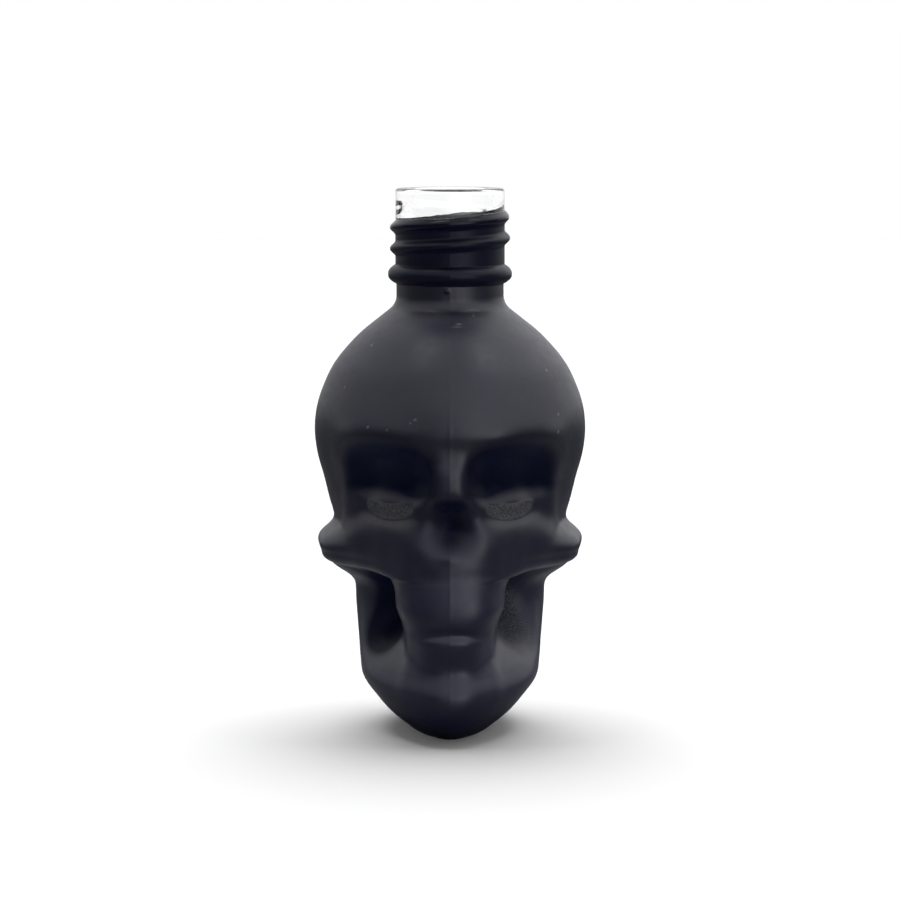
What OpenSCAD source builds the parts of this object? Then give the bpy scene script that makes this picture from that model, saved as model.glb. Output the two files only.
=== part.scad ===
/* [Skull] */
// Height of the skull, from the table to the foot of the neck's flare
skull_h = 62.4; // [54:0.2:74]
// Widest part of the skull, side to side
skull_w = 40.8; // [36:0.2:48]
// Depth of the skull, front to back
skull_d = 45; // [40:0.5:54]

/* [Glass] */
// Wall between the cavity and the smooth body inside the features
wall = 2.4; // [1.8:0.1:3]
// Thickness of the glass over the push-up in the base
base_t = 4.2; // [3:0.1:7]
// Depth of the push-up under the base
push_up_h = 0.8; // [0.4:0.1:1.4]
// Width of the ring that the bottle stands on
bearing_w = 2; // [1.2:0.1:3]

/* [Neck finish] */
// Height of the finish, from the bead's foot to the rim
finish_h = 14.25; // [14:0.05:17]
// Outside diameter of the finish between the threads
finish_d = 16.3; // [15.4:0.1:17]
// Outside diameter of the plain neck below the bead
neck_d = 16; // [15:0.1:17]
// Height of the plain neck, from the flare to the bead
neck_h = 1.7; // [1:0.1:4]
// Radius of the flare where the neck meets the skull
flare_r = 2.65; // [2:0.05:3.4]
// Diameter of the bore
bore_d = 11.2; // [9:0.1:12]
// Height over which the cavity draws in to the bore
shoulder_h = 1; // [0.6:0.1:2]
// Rounding of the rim's outer edge
rim_round = 0.8; // [0.4:0.05:1]
// Rounding of the rim's inner edge
mouth_round = 0.5; // [0.2:0.05:0.7]
// Outside diameter of the bead
bead_d = 18.5; // [18.2:0.1:20]
// Height of the bead
bead_h = 2.9; // [2.8:0.1:4]

/* [Thread] */
// Outside diameter over the thread's crest
thread_d = 17.9; // [17.4:0.1:18.6]
// Pitch of the thread
pitch = 3.18; // [2.8:0.02:3.6]
// Turns of the thread
turns = 2.3; // [1:0.1:2.3]
// Height from the rim down to the crest at the thread's upper end
thread_drop = 2.65; // [2.25:0.05:2.85]
// Width of the thread's foot
thread_foot_w = 2; // [1.6:0.05:2.2]
// Width of the thread's crest
thread_crest_w = 0.6; // [0.4:0.05:0.9]

/* [Coating] */
// Thickness of the matte coating, measured level
coat_t = 0.1; // [0.08:0.01:0.2]
// Height from the rim down to the coating's edge, at the middle of the front
coat_drop = 4.1; // [3.5:0.1:6]
// Slope of the coating's edge, up to the right
coat_tilt = 4.8; // [0:0.1:8]

/* [Hidden] */
glass_colour = "lightcyan";
coat_colour = "dimgray";
half_w = skull_w / 2;
half_d = skull_d / 2;
neck_r = neck_d / 2;
bore_r = bore_d / 2;
finish_r = finish_d / 2;
bead_r = bead_d / 2;
thread_r = thread_d / 2;
// Slope at which the flare runs into the skull
flare_angle = 52;
foot_r = neck_r + flare_r * (1 - cos(flare_angle));
flare_top_z = skull_h + flare_r * sin(flare_angle);
bead_z = flare_top_z + neck_h;
rim_z = bead_z + finish_h;
// Lip by which the neck's round foot covers the skull's faceted top ring
lip = 0.02;
skull_top_r = foot_r - lip;
// Overrun of a cut past the faces that it cuts
over = 1;
round_fn = 96;
arc_steps = 6;

// Columns round half of the skull, and how they crowd towards the face
half_columns = 25;
crowding = 1.2;
// Levels up the skull
level_shares = [
    0, 0.006, 0.016, 0.035, 0.06, 0.085, 0.11, 0.135, 0.16, 0.18, 0.2, 0.22, 0.238, 0.252, 0.26, 0.267,
    0.275, 0.29, 0.31, 0.33, 0.35, 0.366, 0.376, 0.384, 0.392, 0.4, 0.412, 0.43, 0.45, 0.466, 0.48,
    0.495, 0.51, 0.524, 0.538, 0.549, 0.56, 0.574, 0.59, 0.61, 0.63, 0.65, 0.67, 0.69, 0.708, 0.726,
    0.75, 0.78, 0.815, 0.85, 0.885, 0.92, 0.948, 0.975
];

// Skull without its face, up from the table: height, half width, reach in front, reach behind
vault_shares = [
    [0, 0.285, 0.68, 0.43], [0.006, 0.314, 0.715, 0.45], [0.016, 0.35, 0.755, 0.47],
    [0.04, 0.44, 0.825, 0.505], [0.08, 0.548, 0.88, 0.538], [0.12, 0.64, 0.86, 0.545],
    [0.16, 0.664, 0.75, 0.545], [0.2, 0.676, 0.59, 0.545], [0.24, 0.69, 0.43, 0.55],
    [0.284, 0.706, 0.32, 0.565], [0.345, 0.718, 0.31, 0.605], [0.401, 0.765, 0.37, 0.675],
    [0.465, 0.83, 0.5, 0.785], [0.529, 0.89, 0.65, 0.895], [0.593, 0.936, 0.78, 0.969],
    [0.657, 0.985, 0.87, 1], [0.713, 1, 0.905, 0.995], [0.761, 0.985, 0.885, 0.964],
    [0.817, 0.931, 0.842, 0.902], [0.872, 0.846, 0.775, 0.805], [0.91, 0.755, 0.69, 0.707],
    [0.949, 0.637, 0.582, 0.587], [0.981, 0.515, 0.47, 0.47]
];
// Face, up from the table: height, half width, reach in front, blend into the vault, squareness
face_shares = [
    [0, 0.19, 0.689, 0.13, 2], [0.016, 0.235, 0.772, 0.15, 2.1], [0.04, 0.29, 0.865, 0.2, 2.2],
    [0.072, 0.34, 0.93, 0.26, 2.4], [0.112, 0.38, 0.955, 0.28, 2.6], [0.16, 0.38, 0.95, 0.28, 2.6],
    [0.2, 0.362, 0.945, 0.26, 2.7], [0.24, 0.356, 0.948, 0.18, 3], [0.277, 0.378, 0.947, 0.1, 3.4],
    [0.314, 0.427, 0.946, 0.06, 3.8], [0.35, 0.475, 0.937, 0.05, 3.8], [0.368, 0.515, 0.931, 0.05, 3.7],
    [0.377, 0.545, 0.928, 0.05, 3.6], [0.383, 0.585, 0.926, 0.05, 3.4], [0.388, 0.66, 0.924, 0.06, 3.2],
    [0.394, 0.715, 0.923, 0.07, 3], [0.425, 0.79, 0.93, 0.08, 2.7], [0.465, 0.812, 0.94, 0.08, 2.6],
    [0.513, 0.805, 0.942, 0.07, 2.6], [0.561, 0.808, 0.94, 0.07, 2.6], [0.609, 0.785, 0.93, 0.07, 2.6],
    [0.657, 0.79, 0.94, 0.07, 2.6], [0.697, 0.795, 0.94, 0.1, 2.6], [0.729, 0.765, 0.92, 0.18, 2.5],
    [0.77, 0.7, 0.868, 0.26, 2.3], [0.82, 0.61, 0.79, 0.3, 2.2], [0.88, 0.48, 0.66, 0.3, 2.2],
    [0.95, 0.3, 0.42, 0.3, 2.2], [1, 0.16, 0.16, 0.2, 2.2]
];
// Reach of the face's section behind the axis
face_back_share = 0.3;
// Features: angle from the front, height, half angle, extent below and above, depth out of the
// surface, sharpness over angle and height, lean in degrees over the height, rise of the two ends
feature_shares = [
    // brow ridges
    [32, 0.73, 20, 0.025, 0.05, 0.02, 3, 2, 0, -0.02],
    // eye sockets, deepest at their inner lower corner
    [32, 0.615, 21, 0.085, 0.077, -0.175, 4, 2.9, -30, -0.022],
    [16, 0.6, 7, 0.04, 0.08, -0.05, 2, 2.4, -50, 0],
    // floor of the socket, the groove under it and the lower rim
    [33, 0.562, 23, 0.027, 0.03, 0.05, 4, 2, 0, 0.002],
    [31, 0.542, 21, 0.028, 0.029, -0.011, 4, 3, 0, 0.022],
    [31, 0.505, 22, 0.03, 0.014, 0.005, 4, 2, 0, 0.018],
    // hollow of the cheek
    [34, 0.44, 18, 0.11, 0.14, -0.12, 2.4, 4, 0, 0],
    // root and bridge of the nose, its opening, the spine under it and the keel of the jaws
    [0, 0.69, 9, 0.035, 0.035, -0.018, 2, 2, 0, 0],
    [0, 0.59, 9, 0.024, 0.08, 0.07, 3.5, 2, 0, 0],
    [0, 0.515, 10.5, 0.05, 0.056, -0.135, 2, 2.3, 0, 0],
    [0, 0.556, 5, 0.03, 0.02, -0.02, 2.4, 2, 0, 0],
    [0, 0.446, 4, 0.016, 0.014, 0.012, 2, 2, 0, 0],
    [0, 0.34, 18, 0.12, 0.1, 0.045, 1.7, 2.4, 0, 0],
    // temple, cheekbone arch and the recess between jaw and teeth
    [66, 0.62, 10, 0.11, 0.13, -0.02, 2, 2, 0, 0],
    [90, 0.415, 27, 0.061, 0.06, 0.168, 4, 4, 0, -0.012],
    [55, 0.29, 17, 0.095, 0.085, -0.115, 2.4, 3, 0, 0],
    // hollow behind the jaw
    [120, 0.24, 14, 0.16, 0.12, -0.05, 2, 3, 0, 0],
    // mouth, hollow of the chin, chin and the ridges beside it
    [0, 0.266, 17, 0.013, 0.016, -0.03, 5, 2, 0, -0.012],
    [0, 0.18, 14, 0.032, 0.03, -0.022, 2, 2, 0, 0],
    [0, 0.105, 12, 0.045, 0.045, 0.008, 2, 2, 0, 0],
    [21, 0.22, 4.5, 0.09, 0.05, 0.022, 2, 2, 0, 0]
];

// Half angles from a feature's middle past which its end rises no further
rise_limit = 2;

// Smooth body inside all features, which the cavity keeps the wall from: height, half width,
// reach in front, reach behind
core_shares = [
    [0.08, 0.48, 0.56, 0.42], [0.13, 0.57, 0.56, 0.5], [0.18, 0.61, 0.42, 0.51],
    [0.232, 0.65, 0.3, 0.52], [0.284, 0.68, 0.24, 0.545], [0.345, 0.71, 0.27, 0.605],
    [0.401, 0.765, 0.42, 0.675], [0.465, 0.83, 0.55, 0.78], [0.529, 0.86, 0.62, 0.89],
    [0.593, 0.865, 0.6, 0.96], [0.657, 0.895, 0.6, 0.99], [0.713, 0.955, 0.74, 0.985],
    [0.79, 0.965, 0.88, 0.935], [0.872, 0.855, 0.78, 0.81], [0.949, 0.65, 0.59, 0.595]
];
cavity_half_columns = 16;
cavity_levels = 21;

// Ring where the skull ends, under the neck's foot
top_ring = [1, skull_top_r / half_w, skull_top_r / half_d, skull_top_r / half_d];
cavity_floor_z = push_up_h + base_t;
cavity_top_z = skull_h + shoulder_h;
// Step by which the cavity's upper end is wider than the bore
bore_step = 0.15;
// Level run of the push-up's sloping side
push_up_run = 1.2;

// Shape of the bead from foot to top: the higher, the squarer
bead_power = 2.4;
bead_steps = 12;
// Depth to which the thread's root lies in the wall
thread_sink = 0.4;
steps_per_turn = 30;
fade_steps = 3;
// Half profile of the thread: height, part of the foot's width, part of the crest's width
thread_shares = [[0, 1, 0], [0.8, 0.15, 0.85], [1, 0, 0.6]];

// One column of a table, against its first
function column(rows, c) = [for (row = rows) [row[0], row[c]]];
function span_of(knots, x, i = 0) =
    i >= len(knots) - 2 || x < knots[i + 1][0] ? i : span_of(knots, x, i + 1);
function rise(knots, i) = (knots[i + 1][1] - knots[i][1]) / (knots[i + 1][0] - knots[i][0]);
// Slope at a knot, where the spans beside it are weighed by each other's width
function knot_slope(knots, i) =
    i == 0 ? rise(knots, 0) :
    i == len(knots) - 1 ? rise(knots, i - 1) :
    let (before = knots[i][0] - knots[i - 1][0], after = knots[i + 1][0] - knots[i][0])
    (rise(knots, i - 1) * after + rise(knots, i) * before) / (before + after);
// Smooth curve through the knots
function curve(knots, x) =
    let (i = span_of(knots, x), w = knots[i + 1][0] - knots[i][0],
         t = max(0, min(1, (x - knots[i][0]) / w)))
    (2 * t ^ 3 - 3 * t ^ 2 + 1) * knots[i][1] + (t ^ 3 - 2 * t ^ 2 + t) * w * knot_slope(knots, i)
    + (3 * t ^ 2 - 2 * t ^ 3) * knots[i + 1][1] + (t ^ 3 - t ^ 2) * w * knot_slope(knots, i + 1);
// Distance from the axis to an ellipse with that half width and reach in front and behind
function ellipse_reach(angle, w, front, back) =
    let (mid = (back - front) / 2, b = (back + front) / 2,
         p = (sin(angle) / w) ^ 2 + (cos(angle) / b) ^ 2,
         h = cos(angle) * mid / b ^ 2, c = (mid / b) ^ 2 - 1)
    (sqrt(max(0, h ^ 2 - p * c)) - h) / p;
// Distance from the axis to a section that is squarer than an ellipse
function square_reach(angle, w, front, back, power) =
    ((sin(angle) / w) ^ power + (abs(cos(angle)) / (cos(angle) > 0 ? front : back)) ^ power) ^ (-1 / power);
function smooth_max(a, b, k) = max(a, b) + max(k - abs(a - b), 0) ^ 2 / k / 4;
vault_rows = concat(vault_shares, [top_ring]);
core_rows = concat(core_shares, [top_ring]);
// Half width and reaches of a table's section at a height
function body_section(rows, u) = [
    half_w * curve(column(rows, 1), u), half_d * curve(column(rows, 2), u),
    half_d * curve(column(rows, 3), u)
];
function feature(f, angle, u) =
    let (a = abs(angle - f[0] - f[8] * (u - f[1])) / f[2],
         e = u - f[1] - f[9] * min(a, rise_limit) ^ 2,
         b = abs(e) / (e < 0 ? f[3] : f[4]))
    half_w * f[5] * exp(-(a ^ f[6]) - b ^ f[7]);
function sum_of(list) = list * [for (v = list) 1];
function skull_reach(angle, u, vault, face, blend) =
    smooth_max(ellipse_reach(angle, vault[0], vault[1], vault[2]),
               square_reach(angle, face[0], face[1], half_d * face_back_share, face[2]), blend)
    + sum_of([for (f = feature_shares) feature(f, angle, u)]);

// Angles from the front, from one side of the face round the back to the other
function half_angles(n) = [for (i = [0 : n]) 180 * (i / n) ^ crowding];
function both_sides(half) = concat(half, [for (i = [len(half) - 2 : -1 : 1]) half[i]]);
// Ring of points at a height, from the reaches over half of it
function ring(half_reaches, z) =
    let (n = len(half_reaches) - 1, angles = both_sides(half_angles(n)),
         reaches = both_sides(half_reaches))
    [for (j = [0 : 2 * n - 1])
        [(j <= n ? 1 : -1) * reaches[j] * sin(angles[j]), -reaches[j] * cos(angles[j]), z]];
function skull_ring(u, grow) =
    let (vault = body_section(vault_rows, u), blend = half_w * curve(column(face_shares, 3), u),
         face = [half_w * curve(column(face_shares, 1), u), half_d * curve(column(face_shares, 2), u),
                 curve(column(face_shares, 4), u)])
    ring([for (q = half_angles(half_columns)) skull_reach(q, u, vault, face, blend) + grow],
         skull_h * u);
function flat_ring(n, r, z) = ring([for (i = [0 : n]) r], z);
// Ring drawn in level by a distance, at another height
function drawn_in(points, by, z) =
    [for (p = points) let (r = norm([p[0], p[1]])) [p[0] * (r - by) / r, p[1] * (r - by) / r, z]];
function skull_rings(grow, from) = concat(
    [for (i = [from : len(level_shares) - 1]) skull_ring(level_shares[i], grow)],
    [flat_ring(half_columns, skull_top_r + grow, skull_h)]);
function cavity_ring(t) =
    let (z = cavity_floor_z + (skull_h - cavity_floor_z) * t,
         core = body_section(core_rows, z / skull_h))
    ring([for (q = half_angles(cavity_half_columns))
             ellipse_reach(q, core[0], core[1], core[2]) - wall], z);

// Faces between two rings of n points, whose diagonals lean alike on both sides of the face
function band(a, b, n, turned) = [
    for (j = [0 : n - 1])
        let (k = (j + 1) % n, left = (j < n / 2) == turned)
        each left ? [[a + j, b + j, a + k], [b + j, b + k, a + k]]
                  : [[a + j, b + j, b + k], [a + j, b + k, a + k]]
];
// Closed solid through rings, from the bottom up, with a point in the middle of each end
module stack(rings, bottom, top) {
    n = len(rings[0]);
    count = len(rings);
    polyhedron(
        points = concat([for (r = rings) each r], [bottom, top]),
        faces = concat(
            [for (i = [0 : count - 2]) each band(i * n, (i + 1) * n, n, false)],
            [for (j = [0 : n - 1]) [count * n, j, (j + 1) % n]],
            [for (j = [0 : n - 1]) [count * n + 1, (count - 1) * n + (j + 1) % n, (count - 1) * n + j]]
        ),
        convexity = 8
    );
}
// Closed shell between outer and inner rings, both from the bottom up
module shell(outer, inner) {
    n = len(outer[0]);
    count = len(outer);
    rings = concat(outer, [for (i = [count - 1 : -1 : 0]) inner[i]]);
    polyhedron(
        points = [for (r = rings) each r],
        faces = [for (i = [0 : 2 * count - 1])
                     each band(i * n, (i + 1) % (2 * count) * n, n, i >= count)],
        convexity = 8
    );
}

function arc(cx, cz, r, from, to) =
    [for (i = [0 : arc_steps]) let (a = from + (to - from) * i / arc_steps)
        [cx + r * cos(a), cz + r * sin(a)]];
function bead_reach(t) =
    let (base = neck_r + (finish_r - neck_r) * t)
    base + (bead_r - base) * (1 - abs(2 * t - 1) ^ bead_power);
// Outside of the neck from its foot up, grown outwards
function neck_outline(grow) = [
    for (p = concat(
        arc(neck_r + flare_r, flare_top_z, flare_r, 180 + flare_angle, 180),
        [for (i = [0 : bead_steps]) [bead_reach(i / bead_steps), bead_z + bead_h * i / bead_steps]],
        arc(finish_r - rim_round, rim_z - rim_round, rim_round, 0, 90)
    )) [p[0] + grow, p[1]]
];
module neck_solid(grow = 0) {
    rotate_extrude($fn = round_fn)
        polygon(concat([[0, skull_h]], neck_outline(grow), [[0, rim_z]]));
}
function thread_ring(i, last, grow) =
    let (turn = i / steps_per_turn, angle = 180 - 360 * turn,
         mid_z = rim_z - thread_drop - pitch * turn,
         fade = min(1, i / fade_steps, (last - i) / fade_steps),
         root = finish_r - thread_sink, end_crest = finish_r - thread_sink / 2,
         crest = end_crest + (thread_r - end_crest) * fade + grow,
         foot = thread_foot_w / 2 * (1 + fade) / 2 + grow,
         top = thread_crest_w / 2 * (1 + fade) / 2 + grow,
         upper = [for (s = thread_shares) [root + (crest - root) * s[0], foot * s[1] + top * s[2]]],
         lower = [for (p = upper) [p[0], -p[1]]])
    [for (p = concat(lower, [for (k = [len(upper) - 1 : -1 : 0]) upper[k]]))
        [p[0] * cos(angle), p[0] * sin(angle), mid_z + p[1]]];
module thread(grow = 0) {
    last = round(turns * steps_per_turn);
    n = 2 * len(thread_shares);
    polyhedron(
        points = [for (i = [0 : last]) each thread_ring(i, last, grow)],
        faces = concat(
            [for (i = [0 : last - 1]) each band(i * n, (i + 1) * n, n, false)],
            [[for (k = [0 : n - 1]) k]],
            [[for (k = [n - 1 : -1 : 0]) last * n + k]]
        ),
        convexity = 8
    );
}
module mouth_cut() {
    rotate_extrude($fn = round_fn)
        polygon(concat(
            [[0, rim_z - mouth_round]],
            arc(bore_r + mouth_round, rim_z - mouth_round, mouth_round, 180, 90),
            [[bore_r + mouth_round, rim_z + over], [0, rim_z + over]]
        ));
}
module bore() {
    translate([0, 0, cavity_top_z - over / 2])
        cylinder(r = bore_r, h = rim_z - cavity_top_z + over, $fn = round_fn);
}
module skull_solid() {
    foot = skull_ring(0, 0);
    stack(
        concat(
            [drawn_in(foot, bearing_w + push_up_run, push_up_h), drawn_in(foot, bearing_w, 0)],
            skull_rings(0, 0)
        ),
        [0, 0, push_up_h],
        [0, 0, skull_h]
    );
}
module cavity() {
    stack(
        concat(
            [for (i = [0 : cavity_levels]) cavity_ring(i / cavity_levels)],
            [flat_ring(cavity_half_columns, bore_r + bore_step, cavity_top_z)]
        ),
        [0, 0, cavity_floor_z],
        [0, 0, cavity_top_z]
    );
}
// Everything above the coating's upper edge
module above_coat() {
    span = skull_w + over;
    translate([0, 0, rim_z - coat_drop])
        rotate([0, -coat_tilt, 0])
            translate([-span, -span, 0])
                cube([2 * span, 2 * span, finish_h]);
}

module glass_bottle() {
    color(glass_colour)
        difference() {
            union() {
                skull_solid();
                neck_solid();
                thread();
            }
            bore();
            mouth_cut();
            cavity();
        }
}
module matte_coating() {
    color(coat_colour)
        union() {
            shell(skull_rings(coat_t, 1), skull_rings(0, 1));
            difference() {
                union() {
                    neck_solid(coat_t);
                    thread(coat_t);
                }
                neck_solid();
                thread();
                above_coat();
            }
        }
}

glass_bottle();
matte_coating();
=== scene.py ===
"""A small clear glass bottle in the shape of a skull, standing open, matte black up to its thread.

Lengths are in millimetres until a mesh is made. Heights run up from the table, and the face looks along -Y.
Angles are in degrees from the front, and 90 is the side at +X."""

import math

import bpy
import numpy as np
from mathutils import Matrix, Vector


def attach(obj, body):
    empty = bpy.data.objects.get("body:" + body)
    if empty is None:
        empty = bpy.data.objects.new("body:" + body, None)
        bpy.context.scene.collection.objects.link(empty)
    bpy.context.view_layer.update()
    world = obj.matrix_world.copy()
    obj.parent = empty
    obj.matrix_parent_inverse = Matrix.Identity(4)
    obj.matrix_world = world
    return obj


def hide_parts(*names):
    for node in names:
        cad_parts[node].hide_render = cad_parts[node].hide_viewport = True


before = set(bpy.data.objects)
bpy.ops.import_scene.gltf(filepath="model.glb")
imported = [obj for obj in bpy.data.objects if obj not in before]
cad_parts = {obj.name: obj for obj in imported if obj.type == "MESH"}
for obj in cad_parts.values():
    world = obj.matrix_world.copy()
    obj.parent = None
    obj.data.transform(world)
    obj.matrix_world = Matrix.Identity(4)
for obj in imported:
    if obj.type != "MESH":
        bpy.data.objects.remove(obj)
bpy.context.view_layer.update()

MM = 0.001
SCENE = bpy.context.scene

WHITE = (1, 1, 1, 1)

# Floor, in metres: how far it reaches to the sides and back, and in front
FLOOR_SIDE = 1.5
FLOOR_FRONT = 0.12
# Its colour, its colours in the lacquer's reflection near the bottle and away from it, and the distances from
# the middle between which these change
FLOOR_WHITE = (0.93, 0.93, 0.93, 1)
FLOOR_NEAR = (0.26, 0.26, 0.26, 1)
FLOOR_AWAY = (0.12, 0.12, 0.12, 1)
FLOOR_RUN = (0.04, 0.12)
# Glow that the floor has to the eye and through the glass
FLOOR_LIFT = 0.04

# Surround, as light and reflections see it, set after the photograph's highlights. A row gives an
# axis of the ray's direction, where a change along it starts and ends, and the level at both: behind the
# bottle, overhead, how overhead takes over, and sideways
BACKDROP = ("Y", 0.1, 0.42, 0.2, 0.85)
OVERHEAD = ("Z", 0.8, 1, 1.3, 0.95)
OVERHEAD_SHARE = ("Z", 0.1, 0.55, 0, 1)
SIDEWAYS = ("X", -0.7, 0.7, 0.72, 1.15)
# Bright field at the right front: its left and right edge, its edge towards the back, its lower edge
FIELD = [("X", -0.3, 0.4, 0, 1), ("X", 0.55, 0.85, 1, 0), ("Y", -0.3, 0.1, 1, 0), ("Z", -0.35, 0, 0, 1)]
FIELD_LEVEL = 1.8
# Share of the surround that lights the bottle: more from behind, and more from the sides than the middle
AMBIENT = 0.37
AMBIENT_BACK = ("Y", -0.5, 0.3, 0.12, 1.2)
AMBIENT_MIDDLE = 0.6
AMBIENT_SIDES = 1.6

# Lamps, in metres and radians: a wide one overhead, and two narrow ones
SUN = 3.0
SUN_SPREAD = math.radians(62)
SUN_TILT = math.radians(30)
SPOTS = {"spot_left": -0.14, "spot_right": 0.22}
SPOT_Y = -0.02
SPOT_Z = 0.55
SPOT_AIM_Z = 0.06
SPOT_SIZE = (0.02, 0.14)
SPOT_POWER = 0.12

# Colours of the lacquer: ground, blotches, clouds, lower half, hollows, fine dust, specks, coarse grain. The
# lower half is bluer and the hollows are darker after the photograph: both are painted shade
TINT_GROUND = (0.0034, 0.0068, 0.0190, 1)
TINT_BLOTCH = (0.0062, 0.0050, 0.0260, 1)
TINT_CLOUD = (0.0075, 0.0080, 0.0200, 1)
TINT_LOWER_SHADE = (0.0040, 0.0058, 0.0380, 1)
TINT_PAINTED_SHADE = (0.0024, 0.0046, 0.0200, 1)
TINT_DUST = (0.16, 0.16, 0.16, 1)
TINT_SPECK = (0.35, 0.35, 0.35, 1)
TINT_GRAIN = (0.22, 0.22, 0.22, 1)
GLASS_COLOUR = (0.992, 0.998, 0.995, 1)
IOR = 1.5
# Noise in the materials: size in mm, detail, roughness, seed
BLOTCH_NOISE = (9.0, 3, 0.55, 5)
CLOUD_NOISE = (2.2, 4, 0.6, 8)
DUST_NOISE = (0.35, 2, 0.6, 3)
GRAIN_NOISE = (0.11, 2, 0.5, 11)
SHEEN_NOISE = (1.4, 4, 0.6, 14)
PEEL_NOISE = (0.9, 2, 0.5, 17)
FINE_NOISE = (0.14, 3, 0.6, 21)
WAVE_NOISE = (2.5, 2, 0.5, 2)
RIPPLE_NOISE = (0.5, 2, 0.5, 6)
# Where a noise starts and is full, and what it gives there: a share, or for the sheen a roughness
BLOTCH_SPAN = (0.35, 0.65, 0, 1)
CLOUD_SPAN = (0.3, 0.7, 0, 0.3)
DUST_SPAN = (0.8, 0.86, 0, 0.55)
GRAIN_SPAN = (0.54, 0.62, 0, 0.8)
SHEEN_SPAN = (0.25, 0.75, 0.34, 0.42)
# The same for the lower half's painted bluish shade tint, over the height in metres
LOWER_SHADE_SPAN = (0.018, 0.036, 0.5, 0)
# Bumps: depth in mm, strength
PEEL_BUMP = (0.02, 0.35)
FINE_BUMP = (0.012, 0.25)
GRAIN_BUMP = (0.16, 1)
WAVE_BUMP = (0.05, 0.5)
RIPPLE_BUMP = (0.004, 0.4)
# Roughness at the lacquer's glossy edge, its specular level, and how much of that the hollows lose as painted
# shade
GLOSSY_ROUGH = 0.1
SPECULAR = 0.5
SPECULAR_LOST_TO_SHADE = 0.45

# Sizes of the bottle
SKULL_H = 62.4
HALF_W = 20.4
HALF_D = 22.5
NECK_R = 8.0
FLARE_R = 2.65
FLARE_ANGLE = math.radians(52)
NECK_H = 1.7
BEAD_R = 9.25
BEAD_H = 2.9
BEAD_POWER = 2.4
FINISH_R = 8.15
FINISH_H = 14.25
BORE_R = 5.6
RIM_ROUND = 0.5
MOUTH_ROUND = 0.3
THREAD_R = 8.95
PITCH = 3.18
TURNS = 2.3
THREAD_DROP = 2.65
THREAD_FOOT = 1.2
THREAD_CREST = 0.1
# Thread: angle of its start, turns that each end takes, share of the height at its start, and the turns
# between which that grows to 1
THREAD_ANGLE = 270
THREAD_FADE = 0.1
THREAD_START = 0.5
THREAD_GROWN = (0.35, 0.6)
WALL = 2.4
BASE_T = 4.2
PUSH_UP_H = 0.8
PUSH_UP_RUN = 1.2
# First step up from the standing face: inwards and up
PUSH_UP_STEP = (0.4, 0.12)
BEARING_W = 2.0
SHOULDER_H = 1.0
FLOOR_ROUND = 1.2

FLARE_TOP_Z = SKULL_H + FLARE_R * math.sin(FLARE_ANGLE)
BEAD_Z = FLARE_TOP_Z + NECK_H
RIM_Z = BEAD_Z + FINISH_H

# Lacquer: how far it stands off the glass and bites into it, where its foot is, how far under the rim its
# edge is, the edge's tilt, and the edge's waves: how many round the neck, and their height
COAT_OUT = 0.045
COAT_IN = 0.03
COAT_FOOT_Z = 0.45
COAT_DROP = 4.1
COAT_SLOPE = math.tan(math.radians(4.8))
EDGE_WAVES = [(3, 0.05), (5, 0.04), (8, 0.03), (13, 0.02)]
EDGE_SEED = 7
PHASE_MAX = 6.28
# Distances under the edge between which the gloss ends
GLOSS_RUN = (1, 2)
# Mould seam: height, half width, and the heights between which it starts
SEAM_H = 0.025
SEAM_W = 0.3
SEAM_START = (1, 4)
# Knob left on the seam under the bead
NUB_X = -0.45
NUB_Z = 65.55
NUB_R = 0.32
NUB_H = 0.28

# Points round the lacquer, its rows on the skull and on the neck, and points round the glass
FULL_COUNTS = (900, 451, 241, 360)
# How much closer the lacquer's rows are at the foot
ROW_SQUEEZE = 0.35
# On the inner side one row in so many is kept, on the skull and on the neck, and the last row always is
INNER_STEPS = (3, 2)
# Rows of the glass: on the skull, where the first of them is, on the neck, in the bore, in the cavity and in
# its rounding. Steps round the rim and the mouth
GLASS_ROWS = 300
GLASS_FIRST_Z = 0.3
NECK_ROWS = 150
BORE_ROWS = 24
CAVITY_ROWS = 110
ROUND_ROWS = 9
RIM_STEPS = 10
MOUTH_STEPS = 8

# Shares of the skull's three sizes
# Skull without its face: height, half width, reach in front, reach behind
VAULT = [
    (0, 0.285, 0.68, 0.43), (0.006, 0.314, 0.715, 0.45), (0.016, 0.35, 0.755, 0.47),
    (0.04, 0.44, 0.825, 0.505), (0.08, 0.548, 0.88, 0.538), (0.12, 0.64, 0.86, 0.545),
    (0.16, 0.664, 0.75, 0.545), (0.2, 0.676, 0.59, 0.545), (0.24, 0.69, 0.43, 0.55),
    (0.284, 0.706, 0.32, 0.565), (0.345, 0.718, 0.31, 0.605), (0.401, 0.765, 0.37, 0.675),
    (0.465, 0.83, 0.5, 0.785), (0.529, 0.89, 0.65, 0.895), (0.593, 0.936, 0.78, 0.969),
    (0.657, 0.985, 0.87, 1), (0.713, 1, 0.905, 0.995), (0.761, 0.985, 0.885, 0.964),
    (0.817, 0.931, 0.842, 0.902), (0.872, 0.846, 0.775, 0.805), (0.91, 0.755, 0.69, 0.707),
    (0.949, 0.637, 0.582, 0.587), (0.981, 0.515, 0.47, 0.47), (1, 0.442, 0.4008, 0.4008),
]
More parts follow.
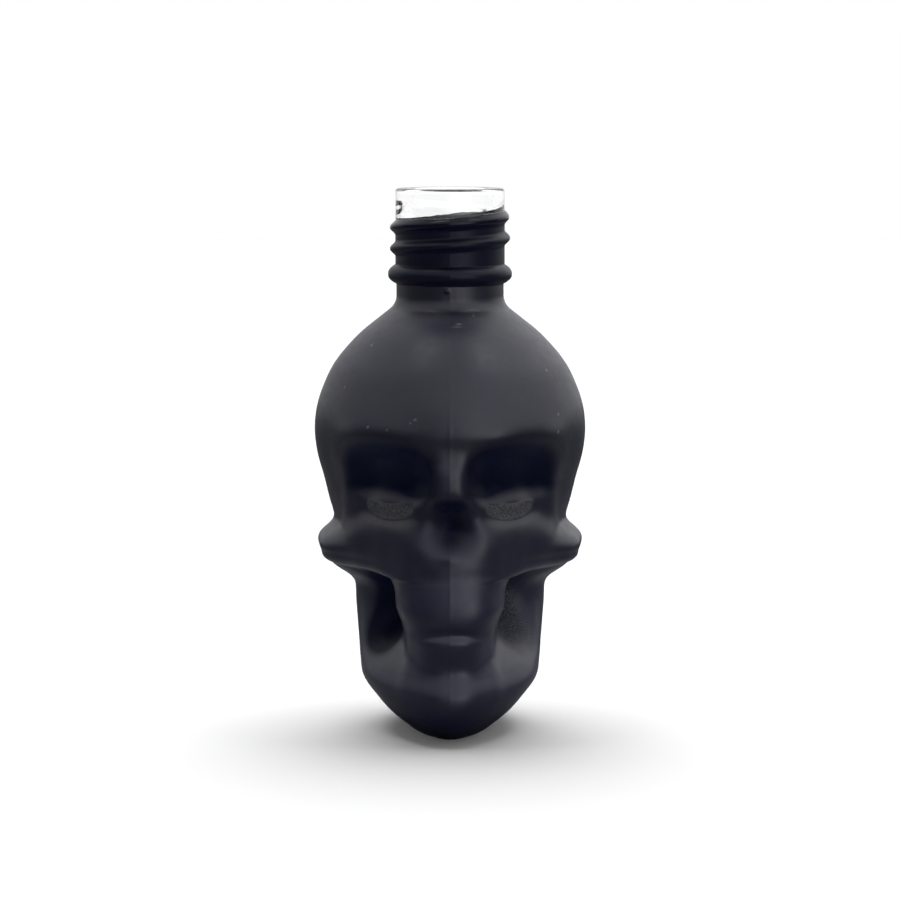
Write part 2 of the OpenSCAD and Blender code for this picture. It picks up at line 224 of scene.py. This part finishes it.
# Face: height, half width, reach in front, blend into the vault, squareness
FACE = [
    (0, 0.19, 0.689, 0.13, 2), (0.016, 0.235, 0.772, 0.15, 2.1), (0.04, 0.29, 0.865, 0.2, 2.2),
    (0.072, 0.34, 0.93, 0.26, 2.4), (0.112, 0.38, 0.955, 0.28, 2.6), (0.16, 0.38, 0.95, 0.28, 2.6),
    (0.2, 0.362, 0.945, 0.26, 2.7), (0.24, 0.356, 0.948, 0.18, 3), (0.277, 0.378, 0.947, 0.1, 3.4),
    (0.314, 0.427, 0.946, 0.06, 3.8), (0.35, 0.475, 0.937, 0.05, 3.8), (0.368, 0.515, 0.931, 0.05, 3.7),
    (0.377, 0.545, 0.928, 0.05, 3.6), (0.383, 0.585, 0.926, 0.05, 3.4), (0.388, 0.66, 0.924, 0.06, 3.2),
    (0.394, 0.715, 0.923, 0.07, 3), (0.425, 0.79, 0.93, 0.08, 2.7), (0.465, 0.812, 0.94, 0.08, 2.6),
    (0.513, 0.805, 0.942, 0.07, 2.6), (0.561, 0.808, 0.94, 0.07, 2.6), (0.609, 0.785, 0.93, 0.07, 2.6),
    (0.657, 0.79, 0.94, 0.07, 2.6), (0.697, 0.795, 0.94, 0.1, 2.6), (0.729, 0.765, 0.92, 0.18, 2.5),
    (0.77, 0.7, 0.868, 0.26, 2.3), (0.82, 0.61, 0.79, 0.3, 2.2), (0.88, 0.48, 0.66, 0.3, 2.2),
    (0.95, 0.3, 0.42, 0.3, 2.2), (1, 0.16, 0.16, 0.2, 2.2),
]
FACE_BACK = 0.3
# Smooth body inside the features, from which the cavity keeps the wall, in the vault's columns
CORE = [
    (0.08, 0.48, 0.56, 0.42), (0.13, 0.57, 0.56, 0.5), (0.18, 0.61, 0.42, 0.51),
    (0.232, 0.65, 0.3, 0.52), (0.284, 0.68, 0.24, 0.545), (0.345, 0.71, 0.27, 0.605),
    (0.401, 0.765, 0.42, 0.675), (0.465, 0.83, 0.55, 0.78), (0.529, 0.86, 0.62, 0.89),
    (0.593, 0.865, 0.6, 0.96), (0.657, 0.895, 0.6, 0.99), (0.713, 0.955, 0.74, 0.985),
    (0.79, 0.965, 0.88, 0.935), (0.872, 0.855, 0.78, 0.81), (0.949, 0.65, 0.59, 0.595),
    (1, 0.441, 0.4, 0.4),
]
# Features: angle, height, half angle, extent below and above, depth out of the surface,
# sharpness over angle and height, lean in degrees over the height, rise of the two ends
FEATURES = {
    "brow": (32, 0.73, 20, 0.025, 0.05, 0.02, 3, 2, 0, -0.02),
    "socket": (32, 0.615, 21, 0.085, 0.077, -0.175, 4, 2.9, -30, -0.022),
    "socket_inner": (16, 0.6, 7, 0.04, 0.08, -0.05, 2, 2.4, -50, 0),
    "lid": (33, 0.562, 23, 0.027, 0.03, 0.05, 4, 2, 0, 0.002),
    "lid_groove": (31, 0.542, 21, 0.028, 0.029, -0.011, 4, 3, 0, 0.022),
    "orbit_rim": (31, 0.505, 22, 0.03, 0.014, 0.005, 4, 2, 0, 0.018),
    "cheek_hollow": (34, 0.44, 18, 0.11, 0.14, -0.12, 2.4, 4, 0, 0),
    "nasion": (0, 0.69, 9, 0.035, 0.035, -0.018, 2, 2, 0, 0),
    "nose_bridge": (0, 0.59, 9, 0.024, 0.08, 0.07, 3.5, 2, 0, 0),
    "nose_hole": (0, 0.515, 10.5, 0.05, 0.056, -0.135, 2, 2.3, 0, 0),
    "nose_top": (0, 0.556, 5, 0.03, 0.02, -0.02, 2.4, 2, 0, 0),
    "keel": (0, 0.34, 18, 0.12, 0.1, 0.045, 1.7, 2.4, 0, 0),
    "spine": (0, 0.446, 4, 0.016, 0.014, 0.012, 2, 2, 0, 0),
    "temple": (66, 0.62, 10, 0.11, 0.13, -0.02, 2, 2, 0, 0),
    "arch": (90, 0.415, 27, 0.061, 0.06, 0.168, 4, 4, 0, -0.012),
    "recess": (55, 0.29, 17, 0.095, 0.085, -0.115, 2.4, 3, 0, 0),
    "nape": (120, 0.24, 14, 0.16, 0.12, -0.05, 2, 3, 0, 0),
    "mouth": (0, 0.266, 17, 0.013, 0.016, -0.03, 5, 2, 0, -0.012),
    "lower_lip": (0, 0.18, 14, 0.032, 0.03, -0.022, 2, 2, 0, 0),
    "chin": (0, 0.105, 12, 0.045, 0.045, 0.008, 2, 2, 0, 0),
    "jaw_ridge": (21, 0.22, 4.5, 0.09, 0.05, 0.022, 2, 2, 0, 0),
}
DEPTH_COLUMN = 5
RISE_LIMIT = 2
# Specks of dust in the lacquer: angle, height, half width, half height, share of a light colour
DUST = [
    (-51.9, 57.7, 0.16, 0.12, 0.7), (-56.0, 51.6, 0.12, 0.16, 0.6), (-13.8, 47.9, 0.2, 0.14, 0.6),
    (-15.6, 47.4, 0.1, 0.1, 0.6), (-34.2, 46.5, 0.16, 0.14, 0.7), (-25.0, 46.3, 0.1, 0.1, 0.8),
    (52.6, 47.8, 0.14, 0.12, 0.9), (50.5, 45.3, 0.14, 0.14, 0.9), (54.0, 54.1, 0.14, 0.12, 0.7),
    (5.1, 60.5, 0.7, 0.07, 0.5), (6.5, 60.9, 0.4, 0.06, 0.6), (21.0, 62.0, 0.1, 0.1, 0.7),
    (118.0, 50.0, 0.14, 0.12, 0.6), (163.0, 41.0, 0.12, 0.12, 0.7), (-133.0, 37.0, 0.14, 0.1, 0.6),
]
DUST_H = 0.02
# Coarse grain in the right recess: angle, height, half angle, half height
RECESS_GRAIN = (56, 0.27, 15, 0.07)
# Strength of the groove under a socket over which its coarse grain sets in
GROOVE_GRAIN = (0.7, 0.85)
# Painted shade in the hollows. Socket: how far out it ends, and the heights at its floor between which it
# starts
SOCKET_SHADE_END = (1.2, 4)
SOCKET_SHADE_FLOOR = (0.565, 0.6)
SOCKET_INNER_SHADE = 0.6
# Painted shade on the bead and the finish: share, and the height over which it sets in
NECK_SHADE = 0.7
NECK_SHADE_RUN = 0.8
# Painted shade in the recess: strength over which it sets in, and the share on the right side, less where
# more light falls
RECESS_SHADE_EDGE = (0.04, 0.3)
RECESS_RIGHT_SHADE = 0.3
# Least strength of a feature, for its logarithm
TINY = 1e-9


# The surface, as a reach from the axis. q is the angle from the front on either side, s and c are its sine
# and cosine, and u is the height as a share of the skull's
def curve(table, column, u):
    """Smooth curve through one column of a table, against its first."""
    x = np.array([row[0] for row in table])
    y = np.array([row[column] for row in table])
    width = np.diff(x)
    rise = np.diff(y) / width
    slope = np.empty_like(y)
    slope[0], slope[-1] = rise[0], rise[-1]
    slope[1:-1] = (rise[:-1] * width[1:] + rise[1:] * width[:-1]) / (width[1:] + width[:-1])
    i = np.clip(np.searchsorted(x, u, side="right") - 1, 0, len(x) - 2)
    h = width[i]
    t = np.clip((u - x[i]) / h, 0, 1)
    return ((2 * t**3 - 3 * t**2 + 1) * y[i] + (t**3 - 2 * t**2 + t) * h * slope[i]
            + (3 * t**2 - 2 * t**3) * y[i + 1] + (t**3 - t**2) * h * slope[i + 1])


def ellipse_reach(s, c, half_w, front, back):
    mid, b = (back - front) / 2, (back + front) / 2
    p = s**2 / half_w**2 + c**2 / b**2
    h = c * mid / b**2
    return (np.sqrt(np.maximum(h**2 - p * ((mid / b)**2 - 1), 0)) - h) / p


def square_reach(s, c, half_w, front, back, power):
    reach = np.where(c > 0, front, back)
    return ((s / half_w)**power + (np.abs(c) / reach)**power)**(-1 / power)


def smooth_max(a, b, k):
    return np.maximum(a, b) + np.maximum(k - np.abs(a - b), 0)**2 / k / 4


def section(table, s, c, u):
    return ellipse_reach(s, c, HALF_W * curve(table, 1, u), HALF_D * curve(table, 2, u),
                         HALF_D * curve(table, 3, u))


def folded(angle):
    """Angle from the front, the same on both sides, with its sine and cosine."""
    q = np.abs((angle + 180) % 360 - 180)
    return q, np.sin(np.radians(q)), np.cos(np.radians(q))


def feature(name, q, u):
    """Strength of a feature, from 0 to 1."""
    q0, u0, half, below, above, _, q_power, u_power, lean, rise = FEATURES[name]
    a = np.abs(q - q0 - lean * (u - u0)) / half
    e = u - u0 - rise * np.minimum(a, RISE_LIMIT)**2
    return np.exp(-a**q_power - (np.abs(e) / np.where(e < 0, below, above))**u_power)


def grain_share(patch, q, u):
    """Share of a patch of coarse grain, from 0 to 1."""
    q0, u0, half, extent = patch
    return np.exp(-((q - q0) / half)**4 - ((u - u0) / extent)**4)


def skull_reach(angle, z):
    q, s, c = folded(angle)
    u = z / SKULL_H
    vault = section(VAULT, s, c, u)
    face = square_reach(s, c, HALF_W * curve(FACE, 1, u), HALF_D * curve(FACE, 2, u), HALF_D * FACE_BACK,
                        curve(FACE, 4, u))
    r = smooth_max(vault, face, HALF_W * curve(FACE, 3, u))
    for name in FEATURES:
        r = r + HALF_W * FEATURES[name][DEPTH_COLUMN] * feature(name, q, u)
    return r


def neck_reach(z):
    """Flare, neck and bead, up to the finish."""
    below = FLARE_TOP_Z - np.minimum(z, FLARE_TOP_Z)
    flare = NECK_R + FLARE_R - np.sqrt(np.maximum(FLARE_R**2 - below**2, 0))
    t = np.clip((z - BEAD_Z) / BEAD_H, 0, 1)
    base = NECK_R + (FINISH_R - NECK_R) * t
    bead = base + (BEAD_R - base) * (1 - np.abs(2 * t - 1)**BEAD_POWER)
    return np.where(z < FLARE_TOP_Z, flare, np.where(z < BEAD_Z, NECK_R, bead))


def smooth_step(x, start, end):
    t = np.clip((x - start) / (end - start), 0, 1)
    return t * t * (3 - 2 * t)


def thread_height(angle, z):
    """Height of the screw thread over the finish. It starts at the -X side and goes down round the back."""
    first = ((THREAD_ANGLE - angle) % 360) / 360
    best = np.zeros(np.broadcast(angle, z).shape)
    for turn in (first + k for k in range(math.ceil(TURNS) + 1)):
        off = np.abs(z - (RIM_Z - THREAD_DROP - PITCH * turn))
        fade = smooth_step(turn, 0, THREAD_FADE) * (1 - smooth_step(turn, TURNS - THREAD_FADE, TURNS))
        fade = fade * (THREAD_START + (1 - THREAD_START) * smooth_step(turn, *THREAD_GROWN))
        best = np.maximum(best, (1 - smooth_step(off, THREAD_CREST, THREAD_FOOT)) * fade)
    return (THREAD_R - FINISH_R) * best


def outside(angle, z):
    """Outside of the glass up to the rim's rounding."""
    skull = skull_reach(angle, np.minimum(z, SKULL_H))
    neck = neck_reach(np.maximum(z, SKULL_H)) + thread_height(angle, z)
    return np.where(z < SKULL_H, skull, neck)


# Meshes from rings of points
def ring_points(angle, r, z):
    a = np.radians(angle)
    return np.stack([r * np.sin(a), -r * np.cos(a), z + 0 * r], -1)


def ring_quads(count, n, closed):
    """Corners of the quads between rings of n points each."""
    i = np.arange(count if closed else count - 1)[:, None]
    j = np.arange(n)[None, :]
    k = (j + 1) % n
    i2 = (i + 1) % count
    return np.stack([i * n + j, i * n + k, i2 * n + k, i2 * n + j], -1).reshape(-1, 4)


def end_fans(count, n):
    """Corners of the triangles from the first and the last ring to the two points after all rings."""
    j = np.arange(n)
    k = (j + 1) % n
    last = (count - 1) * n
    low = np.stack([np.full(n, count * n), k, j], -1)
    high = np.stack([np.full(n, count * n + 1), last + j, last + k], -1)
    return np.concatenate([low, high])


def mesh_object(name, rings, material, node, closed=False, ends=None):
    """A smooth mesh through rings of equally many points, which stands for a node. closed joins the last ring
    to the first one, and ends are the two points that close a solid."""
    count, n = rings.shape[:2]
    points = rings.reshape(-1, 3)
    faces = [ring_quads(count, n, closed)]
    if ends is not None:
        points = np.concatenate([points, np.array(ends, float)])
        faces.append(end_fans(count, n))
    corners = np.concatenate([part.reshape(-1) for part in faces])
    totals = np.concatenate([np.full(len(part), part.shape[1]) for part in faces])
    starts = np.cumsum(totals) - totals
    mesh = bpy.data.meshes.new(name)
    mesh.vertices.add(len(points))
    mesh.vertices.foreach_set("co", (points * MM).reshape(-1).astype(np.float32))
    mesh.loops.add(len(corners))
    mesh.loops.foreach_set("vertex_index", corners.astype(np.int32))
    mesh.polygons.add(len(starts))
    mesh.polygons.foreach_set("loop_start", starts.astype(np.int32))
    mesh.polygons.foreach_set("loop_total", totals.astype(np.int32))
    mesh.polygons.foreach_set("use_smooth", np.ones(len(starts), bool))
    mesh.update(calc_edges=True)
    mesh.validate()
    mesh.materials.append(material)
    obj = bpy.data.objects.new(name, mesh)
    SCENE.collection.objects.link(obj)
    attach(obj, "root")
    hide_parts(node)
    return obj


def give_attribute(obj, name, values):
    """Values for the first points of a mesh, which its material reads by name. The other points get 0."""
    layer = obj.data.attributes.new(name, "FLOAT", "POINT")
    full = np.zeros(len(obj.data.vertices), np.float32)
    full[:values.size] = values.reshape(-1)
    layer.data.foreach_set("value", full)


# Helpers for nodes
class Nodes:
    """Nodes of a material or a world, made and linked in one line each."""

    def __init__(self, owner):
        owner.use_nodes = True
        self.owner = owner
        self.tree = owner.node_tree
        self.coords = self.add("ShaderNodeTexCoord").outputs
        self.place = self.coords["Object"]

    def add(self, kind, settings=None, **inputs):
        node = self.tree.nodes.new(kind)
        for key, value in (settings or {}).items():
            setattr(node, key, value)
        for key, value in inputs.items():
            self.put(node.inputs[key], value)
        return node

    def put(self, socket, value):
        if isinstance(value, bpy.types.NodeSocket):
            self.tree.links.new(value, socket)
        else:
            socket.default_value = value

    def noise(self, size_mm, detail, rough, seed):
        """Noise whose features are about size_mm across."""
        node = self.add("ShaderNodeTexNoise", {"noise_dimensions": "4D"}, Vector=self.place, W=float(seed),
                        Scale=1 / (size_mm * MM), Detail=float(detail), Roughness=rough)
        return node.outputs["Fac"]

    def between(self, value, low, high, to_low=0.0, to_high=1.0):
        """Smooth change from to_low to to_high as the value goes from low to high."""
        node = self.add("ShaderNodeMapRange", {"interpolation_type": "SMOOTHSTEP"}, Value=value)
        for key, v in (("From Min", low), ("From Max", high), ("To Min", to_low), ("To Max", to_high)):
            self.put(node.inputs[key], v)
        return node.outputs["Result"]

    def math(self, operation, a, b):
        node = self.add("ShaderNodeMath", {"operation": operation})
        self.put(node.inputs[0], a)
        self.put(node.inputs[1], b)
        return node.outputs[0]

    def times(self, first, *others):
        for other in others:
            first = self.math("MULTIPLY", first, other)
        return first

    def less(self, share):
        """What a share leaves of one."""
        return self.math("SUBTRACT", 1.0, share)

    def mix(self, factor, a, b):
        node = self.add("ShaderNodeMix", {"data_type": "RGBA"})
        self.put(node.inputs[0], factor)
        self.put(node.inputs[6], a)
        self.put(node.inputs[7], b)
        return node.outputs[2]

    def attribute(self, name):
        return self.add("ShaderNodeAttribute", {"attribute_name": name}).outputs["Fac"]

    def bump(self, height, distance_mm, strength, normal=None):
        node = self.add("ShaderNodeBump", Strength=strength, Distance=distance_mm * MM, Height=height)
        if normal is not None:
            self.put(node.inputs["Normal"], normal)
        return node.outputs["Normal"]


# Materials
def lacquer_tint(n, grain, pits):
    """Colour of the lacquer, as layers over its ground, with painted shade: darker hollows, bluer low down.
    """
    height = n.add("ShaderNodeSeparateXYZ", Vector=n.place).outputs["Z"]
    layers = [
        (n.between(n.noise(*BLOTCH_NOISE), *BLOTCH_SPAN), TINT_BLOTCH),
        (n.between(n.noise(*CLOUD_NOISE), *CLOUD_SPAN), TINT_CLOUD),
        # Painted shade: bluish tint low down
        (n.between(height, *LOWER_SHADE_SPAN), TINT_LOWER_SHADE),
        # Painted shade: darker colour in the hollows
        (n.attribute("hollow"), TINT_PAINTED_SHADE),
        (n.between(n.noise(*DUST_NOISE), *DUST_SPAN), TINT_DUST),
        (n.attribute("dusty"), TINT_SPECK),
        (n.times(pits, n.between(grain, *GRAIN_SPAN)), TINT_GRAIN),
    ]
    tint = TINT_GROUND
    for share, colour in layers:
        tint = n.mix(share, tint, colour)
    return tint


def lacquer_material():
    """Black lacquer, sprayed matte, and glossy at its upper edge. Its hollows have painted shade."""
    n = Nodes(bpy.data.materials.new("black_lacquer"))
    shader = n.tree.nodes["Principled BSDF"].inputs
    gloss = n.attribute("glossy")
    pits = n.attribute("pitted")
    grain = n.noise(*GRAIN_NOISE)
    n.put(shader["Base Color"], lacquer_tint(n, grain, pits))
    rough = n.add("ShaderNodeMix", {"data_type": "FLOAT"})
    n.put(rough.inputs[0], gloss)
    n.put(rough.inputs[2], n.between(n.noise(*SHEEN_NOISE), *SHEEN_SPAN))
    n.put(rough.inputs[3], GLOSSY_ROUGH)
    n.put(shader["Roughness"], rough.outputs[0])
    normal = n.bump(n.noise(*PEEL_NOISE), *PEEL_BUMP)
    normal = n.bump(n.times(n.noise(*FINE_NOISE), n.less(gloss)), *FINE_BUMP, normal)
    n.put(shader["Normal"], n.bump(n.times(grain, pits), *GRAIN_BUMP, normal))
    # Painted shade: the hollows lose specular level
    painted_shade_loss = n.times(n.attribute("hollow"), SPECULAR_LOST_TO_SHADE)
    n.put(shader["Specular IOR Level"], n.math("SUBTRACT", SPECULAR, painted_shade_loss))
    n.put(shader["IOR"], IOR)
    return n.owner


def glass_material():
    """Clear glass of a moulded bottle, slightly wavy."""
    n = Nodes(bpy.data.materials.new("clear_glass"))
    shader = n.tree.nodes["Principled BSDF"].inputs
    n.put(shader["Base Color"], GLASS_COLOUR)
    n.put(shader["Roughness"], 0.0)
    n.put(shader["IOR"], IOR)
    n.put(shader["Transmission Weight"], 1.0)
    wave = n.bump(n.noise(*WAVE_NOISE), *WAVE_BUMP)
    n.put(shader["Normal"], n.bump(n.noise(*RIPPLE_NOISE), *RIPPLE_BUMP, wave))
    return n.owner


# Pieces
def arc(cx, cz, r, start, end, steps):
    """Points of an arc in the plane of reach and height, between two angles in degrees."""
    a = np.radians(np.linspace(start, end, steps + 1))
    return [(cx + r * math.cos(t), cz + r * math.sin(t)) for t in a]


def seam_height(angle, z, r):
    """Mould seam down the middle of the front and the back."""
    across = r * folded(angle)[1]
    return SEAM_H * np.exp(-(across / SEAM_W)**2) * smooth_step(z, *SEAM_START)


def nub_height(angle, z, r):
    """Small knob on the seam, under the bead."""
    across = r * np.sin(np.radians(angle)) - NUB_X
    far = np.hypot(across, z - NUB_Z) / NUB_R
    return np.where(np.cos(np.radians(angle)) > 0, NUB_H * np.exp(-far**2), 0)


def dust_share(angle, z, r):
    """Light colour of the specks of dust, from 0 to 1."""
    share = np.zeros(r.shape)
    for angle_0, z_0, half_w, half_h, strength in DUST:
        across = r * np.radians((angle - angle_0 + 180) % 360 - 180)
        share = np.maximum(share, strength * np.exp(-(across / half_w)**2 - ((z - z_0) / half_h)**2))
    return share


def pitted_share(angle, z):
    """Coarse grain, from 0 to 1: in the groove under each socket and in the right recess."""
    q = folded(angle)[0]
    u = np.minimum(z, SKULL_H) / SKULL_H
    groove = smooth_step(feature("lid_groove", q, u), *GROOVE_GRAIN)
    recess = grain_share(RECESS_GRAIN, q, u) * (angle < 180)
    return np.clip(groove + recess, 0, 1) * (z < SKULL_H)


def hollow_share(angle, z):
    """Painted shade in the sockets, the nose, the recesses and everything from the bead up, from 0 to 1."""
    q = folded(angle)[0]
    u = np.minimum(z, SKULL_H) / SKULL_H
    out = -np.log(np.maximum(feature("socket", q, u), TINY))
    share = (1 - smooth_step(out, *SOCKET_SHADE_END)) * smooth_step(u, *SOCKET_SHADE_FLOOR)
    share = share + SOCKET_INNER_SHADE * feature("socket_inner", q, u)
    share = share + feature("nose_hole", q, u) + NECK_SHADE * smooth_step(z, BEAD_Z, BEAD_Z + NECK_SHADE_RUN)
    recess = smooth_step(feature("recess", q, u), *RECESS_SHADE_EDGE)
    # The recess's painted shade is weaker on the right side, where more light falls
    share = share + recess * np.where(angle < 180, RECESS_RIGHT_SHADE, 1)
    return np.clip(share, 0, 1)


def lacquer_edge(angles):
    """Height of the lacquer's upper edge."""
    edge = RIM_Z - COAT_DROP + FINISH_R * np.sin(np.radians(angles)) * COAT_SLOPE
    phases = np.random.default_rng(EDGE_SEED).uniform(0, PHASE_MAX, len(EDGE_WAVES))
    return edge + sum(height * np.sin(np.radians(angles * count) + phase)
                      for (count, height), phase in zip(EDGE_WAVES, phases))


def lacquer_rows(angles, edge, z_skull, up):
    """Angles, heights and the glass's reach, in rows: up the skull, then by shares of the way to the edge."""
    q, z = np.meshgrid(angles, z_skull)
    z_neck = SKULL_H + (edge[None, :] - SKULL_H) * up[:, None]
    q = np.concatenate([q, np.repeat(angles[None, :], len(up), 0)])
    z = np.concatenate([z, z_neck])
    return q, z, outside(q, z)


def lacquer_piece(material, columns, skull_rows, neck_rows):
    """Thin closed shell of lacquer on the skull and the neck, from its foot to its edge at the thread."""
    angles = np.arange(columns) * 360 / columns
    edge = lacquer_edge(angles)
    share = np.linspace(0, 1, skull_rows)
    share = ROW_SQUEEZE * share**2 + (1 - ROW_SQUEEZE) * share
    z_skull = COAT_FOOT_Z + (SKULL_H - COAT_FOOT_Z) * share
    up = np.linspace(0, 1, neck_rows)[1:]
    q, z, glass = lacquer_rows(angles, edge, z_skull, up)
    r = glass + COAT_OUT
    dusty = dust_share(q, z, r)
    r = r + seam_height(q, z, r) + nub_height(q, z, r) + DUST_H * dusty
    outer = ring_points(q, r, z)
    skull_step, neck_step = INNER_STEPS
    fewer_up = up[neck_step - 1::neck_step]
    q_in, z_in, glass_in = lacquer_rows(angles, edge, z_skull[::skull_step], fewer_up)
    inner = ring_points(q_in, glass_in - COAT_IN, z_in)[::-1]
    rings = np.concatenate([outer, inner])
    piece = mesh_object("matte_lacquer", rings, material, "matte_coating", closed=True)
    give_attribute(piece, "pitted", pitted_share(q, z))
    give_attribute(piece, "dusty", dusty)
    # Painted shade in the hollows, read by the lacquer's colour and specular level
    give_attribute(piece, "hollow", hollow_share(q, z))
    give_attribute(piece, "glossy", 1 - smooth_step(edge[None, :] - z, *GLOSS_RUN))


def flat_ring(angles, reach, height):
    return ring_points(angles, np.broadcast_to(reach, angles.shape), np.full(angles.shape, height))


def cavity_rings(angles, floor_z):
    """The hollow inside, from the shoulder down to its floor, which is rounded at its side."""
    _, s, c = folded(angles)
    round_top = floor_z + FLOOR_ROUND
    bend = np.linspace(0, 1, ROUND_ROWS)[1:] * math.pi / 2
    levels = [np.linspace(SKULL_H, round_top, CAVITY_ROWS), floor_z + FLOOR_ROUND * (1 - np.sin(bend))]
    rings = []
    for h in np.concatenate(levels):
        reach = section(CORE, s, c, np.full(angles.shape, h / SKULL_H)) - WALL
        low = max(0.0, (round_top - h) / FLOOR_ROUND)
        pulled_in = FLOOR_ROUND * (1 - math.sqrt(max(0.0, 1 - low**2)))
        rings.append(flat_ring(angles, reach - pulled_in, h))
    return rings


def glass_piece(material, columns):
    """The glass: underside, outside, rim, mouth, bore and cavity, as one closed surface."""
    angles = np.arange(columns) * 360 / columns
    z_skull = np.concatenate([[0], np.linspace(GLASS_FIRST_Z, SKULL_H, GLASS_ROWS)])
    z_neck = np.linspace(SKULL_H, RIM_Z - RIM_ROUND, NECK_ROWS)[1:]
    q, z = np.meshgrid(angles, np.concatenate([z_skull, z_neck]))
    r = outside(q, z)
    bearing = r[0] - BEARING_W
    step_in, step_up = PUSH_UP_STEP
    base = [(bearing - PUSH_UP_RUN, PUSH_UP_H), (bearing - step_in, step_up), (bearing, 0)]
    rim = arc(FINISH_R - RIM_ROUND, RIM_Z - RIM_ROUND, RIM_ROUND, 0, 90, RIM_STEPS)[1:]
    mouth = arc(BORE_R + MOUTH_ROUND, RIM_Z - MOUTH_ROUND, MOUTH_ROUND, 90, 180, MOUTH_STEPS)
    bore_z = np.linspace(RIM_Z - MOUTH_ROUND, SKULL_H + SHOULDER_H, BORE_ROWS)[1:]
    bore = [(BORE_R, height) for height in bore_z]
    low = [flat_ring(angles, reach, height) for reach, height in base]
    high = [flat_ring(angles, reach, height) for reach, height in rim + mouth + bore]
    floor_z = PUSH_UP_H + BASE_T
    rings = np.concatenate([low, ring_points(q, r, z), high, cavity_rings(angles, floor_z)])
    ends = [(0, 0, PUSH_UP_H), (0, 0, floor_z)]
    mesh_object("glass_body", rings, material, "glass_bottle", ends=ends)


# Floor, light and camera
def floor_material():
    """White to the eye and through the glass, and dimmer in the lacquer's reflection."""
    n = Nodes(bpy.data.materials.new("floor_white"))
    n.tree.nodes.remove(n.tree.nodes["Principled BSDF"])
    rays = n.add("ShaderNodeLightPath").outputs
    away = n.add("ShaderNodeVectorMath", {"operation": "LENGTH"})
    n.put(away.inputs[0], n.place)
    reflected = n.mix(n.between(away.outputs["Value"], *FLOOR_RUN), FLOOR_NEAR, FLOOR_AWAY)
    mirrored = n.times(rays["Is Glossy Ray"], n.less(rays["Is Transmission Ray"]))
    colour = n.mix(mirrored, FLOOR_WHITE, reflected)
    seen = n.math("MAXIMUM", rays["Is Camera Ray"], rays["Is Transmission Ray"])
    both = n.add("ShaderNodeAddShader")
    n.put(both.inputs[0], n.add("ShaderNodeBsdfDiffuse", Color=colour).outputs[0])
    glow = n.add("ShaderNodeEmission", Color=WHITE, Strength=n.times(seen, FLOOR_LIFT))
    n.put(both.inputs[1], glow.outputs[0])
    n.put(n.tree.nodes["Material Output"].inputs["Surface"], both.outputs[0])
    return n.owner


def floor_piece():
    """Floor round the bottle, which is no part of it."""
    mesh = bpy.data.meshes.new("floor")
    low, high, front = -FLOOR_SIDE, FLOOR_SIDE, -FLOOR_FRONT
    corners = [(low, front, 0), (high, front, 0), (high, high, 0), (low, high, 0)]
    mesh.from_pydata(corners, [], [(0, 1, 2, 3)])
    mesh.materials.append(floor_material())
    floor = bpy.data.objects.new("floor", mesh)
    SCENE.collection.objects.link(floor)


def surround():
    """White to the eye and through the glass. Reflections and light get what the surround's rows say."""
    world = bpy.data.worlds.new("studio")
    SCENE.world = world
    n = Nodes(world)
    rays = n.add("ShaderNodeLightPath").outputs
    way = n.add("ShaderNodeSeparateXYZ", Vector=n.coords["Generated"]).outputs

    def change(axis, start, end, from_level, to_level):
        return n.between(way[axis], start, end, from_level, to_level)

    field = n.times(*(change(*edge) for edge in FIELD), FIELD_LEVEL)
    low = n.math("ADD", change(*BACKDROP), field)
    up = change(*OVERHEAD_SHARE)
    level = n.math("ADD", n.times(low, n.less(up)), n.times(change(*OVERHEAD), up))
    level = n.times(level, change(*SIDEWAYS))
    mirrored = rays["Is Glossy Ray"]
    sides = n.math("ADD", AMBIENT_MIDDLE, n.times(way["X"], way["X"], AMBIENT_SIDES))
    soft = n.times(change(*AMBIENT_BACK), AMBIENT, sides, n.less(mirrored))
    level = n.times(level, n.math("ADD", soft, mirrored))
    seen = n.math("MAXIMUM", rays["Is Camera Ray"], rays["Is Transmission Ray"])
    level = n.math("ADD", seen, n.times(level, n.less(seen)))
    back = n.tree.nodes["Background"].inputs
    n.put(back["Color"], WHITE)
    n.put(back["Strength"], level)


def lamps():
    """A wide lamp overhead, which reflections don't show, and a narrow one at each side."""
    lamp = bpy.data.lights.new("overhead", "SUN")
    lamp.energy = SUN
    lamp.angle = SUN_SPREAD
    overhead = bpy.data.objects.new("overhead", lamp)
    overhead.rotation_euler = (-SUN_TILT, 0, 0)
    overhead.visible_glossy = False
    SCENE.collection.objects.link(overhead)
    for name, x in SPOTS.items():
        lamp = bpy.data.lights.new(name, "AREA")
        lamp.energy = SPOT_POWER
        lamp.shape = "RECTANGLE"
        lamp.size, lamp.size_y = SPOT_SIZE
        spot = bpy.data.objects.new(name, lamp)
        spot.location = (x, SPOT_Y, SPOT_Z)
        aim = Vector((0, 0, SPOT_AIM_Z)) - spot.location
        spot.rotation_euler = aim.to_track_quat("-Z", "Y").to_euler()
        SCENE.collection.objects.link(spot)


def camera():
    """Camera at the photograph's viewing angle: a little above the rim, looking down by seven degrees."""
    eye_height, eye_distance, aim_height = 93, 420, 41
    focal_px, image_px, sensor, nearest_seen = 2800, 900, 36, 10
    data = bpy.data.cameras.new("camera")
    data.sensor_width = sensor
    data.lens = sensor * focal_px / image_px
    data.clip_start = nearest_seen * MM
    obj = bpy.data.objects.new("camera", data)
    obj.location = Vector((0, -eye_distance, eye_height)) * MM
    tilt = math.atan((eye_height - aim_height) / eye_distance)
    obj.rotation_euler = (math.pi / 2 - tilt, 0, 0)
    SCENE.collection.objects.link(obj)
    SCENE.camera = obj


SCENE.view_settings.view_transform = "Standard"
camera()
floor_piece()
surround()
lamps()
columns, skull_rows, neck_rows, glass_columns = FULL_COUNTS
lacquer_piece(lacquer_material(), columns, skull_rows, neck_rows)
glass_piece(glass_material(), glass_columns)
